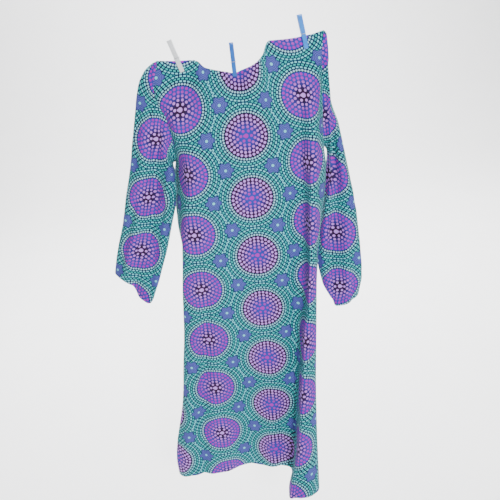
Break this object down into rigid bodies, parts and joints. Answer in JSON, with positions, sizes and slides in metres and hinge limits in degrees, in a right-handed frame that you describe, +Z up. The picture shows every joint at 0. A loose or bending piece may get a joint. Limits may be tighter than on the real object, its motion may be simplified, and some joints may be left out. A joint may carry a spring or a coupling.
{
  "type": "printed cotton kaftan dress hung by three clothes pegs",
  "caption": "Long-sleeved, calf-length loose dress in printed cotton, hanging from clothes pegs at its shoulders and the middle of its neckline.",
  "frame": {"origin": "line notch of the middle peg, which grips the middle of the front neckline", "axes": "+Z up; seen from the front, +X is to the right and +Y is away from the viewer, so the front of the dress faces -Y"},
  "size_m": [0.6514, 0.296, 1.2101],
  "materials": {
    "printed_cotton": "plain-weave cotton, all-over print in teal, aqua, violet and magenta, slight sheen",
    "blue_plastic": "satin",
    "white_plastic": "satin",
    "spring_steel": "plain drawn wire"
  },
  "bodies": {
    "root": {"front": "printed_cotton", "back": "printed_cotton", "left_sleeve": "printed_cotton", "right_sleeve": "printed_cotton", "peg_left_arm_front": "white_plastic", "peg_left_arm_back": "white_plastic", "peg_left_spring": "spring_steel", "peg_middle_arm_front": "blue_plastic", "peg_middle_arm_back": "blue_plastic", "peg_middle_spring": "spring_steel", "peg_right_arm_front": "blue_plastic", "peg_right_arm_back": "blue_plastic", "peg_right_spring": "spring_steel"}
  },
  "joints": []
}
